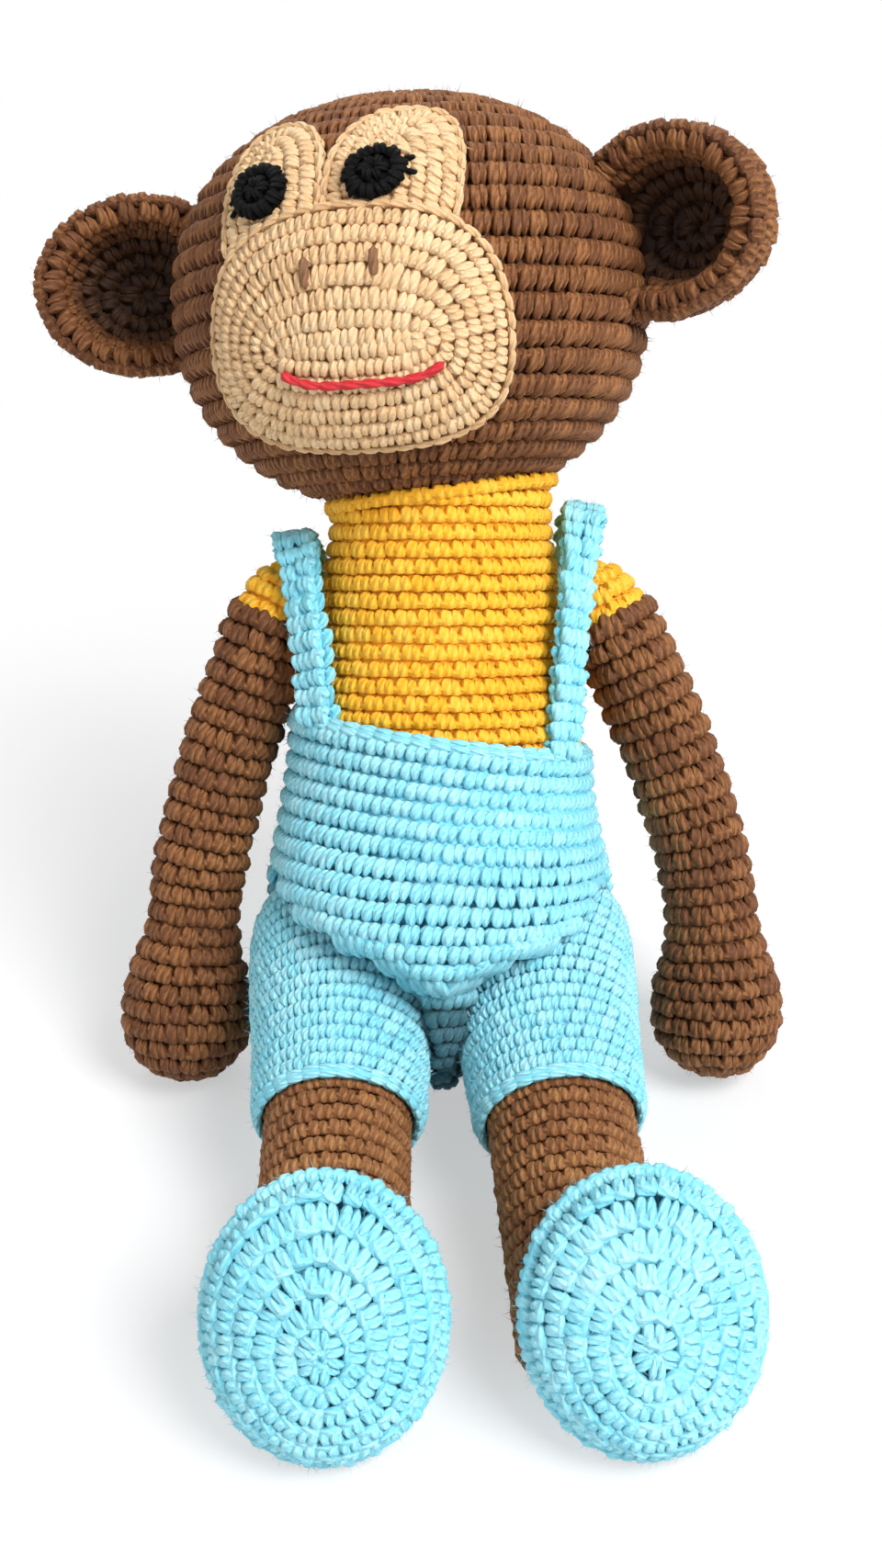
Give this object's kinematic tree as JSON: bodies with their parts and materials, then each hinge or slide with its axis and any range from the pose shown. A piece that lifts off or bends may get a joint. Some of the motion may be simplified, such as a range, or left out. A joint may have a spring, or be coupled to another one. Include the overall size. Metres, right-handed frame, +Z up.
{
  "type": "crocheted monkey toy",
  "caption": "Stuffed crocheted monkey in dungarees and shoes, sitting, with a head that turns, arms that lift and legs that swing at the hips.",
  "frame": {"origin": "on the ground under the seat, midway between the hips", "axes": "+Z up, the toy faces -Y, its left side is +X"},
  "size_m": [0.1786, 0.2553, 0.2195],
  "materials": {
    "brown_yarn": "matte",
    "beige_yarn": "matte",
    "yellow_yarn": "matte",
    "blue_yarn": "matte",
    "black_yarn": "matte",
    "red_yarn": "matte",
    "dark_brown_yarn": "matte",
    "wadding": "matte"
  },
  "bodies": {
    "torso": {"torso_skin": "yellow_yarn", "torso_stuffing": "wadding", "neck_seam": "yellow_yarn", "dungarees_trunk": "blue_yarn", "waist_edge": "blue_yarn", "strap_left": "blue_yarn", "strap_right": "blue_yarn"},
    "head": {"head_skin": "brown_yarn", "head_stuffing": "wadding", "muzzle_patch": "beige_yarn", "mouth_stitch": "red_yarn", "nostril_stitch_left": "dark_brown_yarn", "nostril_stitch_right": "dark_brown_yarn", "eye_patch_left": "beige_yarn", "eye_patch_right": "beige_yarn", "pupil_left": "black_yarn", "pupil_right": "black_yarn", "ear_left": "brown_yarn", "ear_right": "brown_yarn"},
    "arm_left": {"sleeve_left": "yellow_yarn", "arm_skin_left": "brown_yarn", "arm_stuffing_left": "wadding"},
    "arm_right": {"sleeve_right": "yellow_yarn", "arm_skin_right": "brown_yarn", "arm_stuffing_right": "wadding"},
    "leg_left": {"trouser_leg_left": "blue_yarn", "cuff_edge_left": "blue_yarn", "leg_skin_left": "brown_yarn", "leg_stuffing_left": "wadding", "shoe_upper_left": "blue_yarn", "shoe_sole_left": "blue_yarn", "sole_ridge_left": "blue_yarn", "shoe_stuffing_left": "wadding"},
    "leg_right": {"trouser_leg_right": "blue_yarn", "cuff_edge_right": "blue_yarn", "leg_skin_right": "brown_yarn", "leg_stuffing_right": "wadding", "shoe_upper_right": "blue_yarn", "shoe_sole_right": "blue_yarn", "sole_ridge_right": "blue_yarn", "shoe_stuffing_right": "wadding"}
  },
  "joints": [
    {"name": "head_turn", "type": "hinge", "parent": "torso", "child": "head", "pos_m": [-0.007, 0.05403, 0.16901], "axis": [-0.061, 0.4438, 0.894], "range_deg": [-20, 20]},
    {"name": "arm_lift_left", "type": "hinge", "parent": "torso", "child": "arm_left", "pos_m": [0.03837, 0.02292, 0.10635], "axis": [0, -0.8957, 0.4446], "range_deg": [0, 90]},
    {"name": "arm_lift_right", "type": "hinge", "parent": "torso", "child": "arm_right", "pos_m": [-0.03837, 0.02292, 0.10635], "axis": [0, 0.8957, -0.4446], "range_deg": [0, 90]},
    {"name": "hip_left", "type": "hinge", "parent": "torso", "child": "leg_left", "pos_m": [0.0225, -0.022, 0.036], "axis": [1, 0, 0], "range_deg": [0, 52]},
    {"name": "hip_right", "type": "hinge", "parent": "torso", "child": "leg_right", "pos_m": [-0.0225, -0.022, 0.036], "axis": [1, 0, 0], "range_deg": [0, 52]}
  ]
}
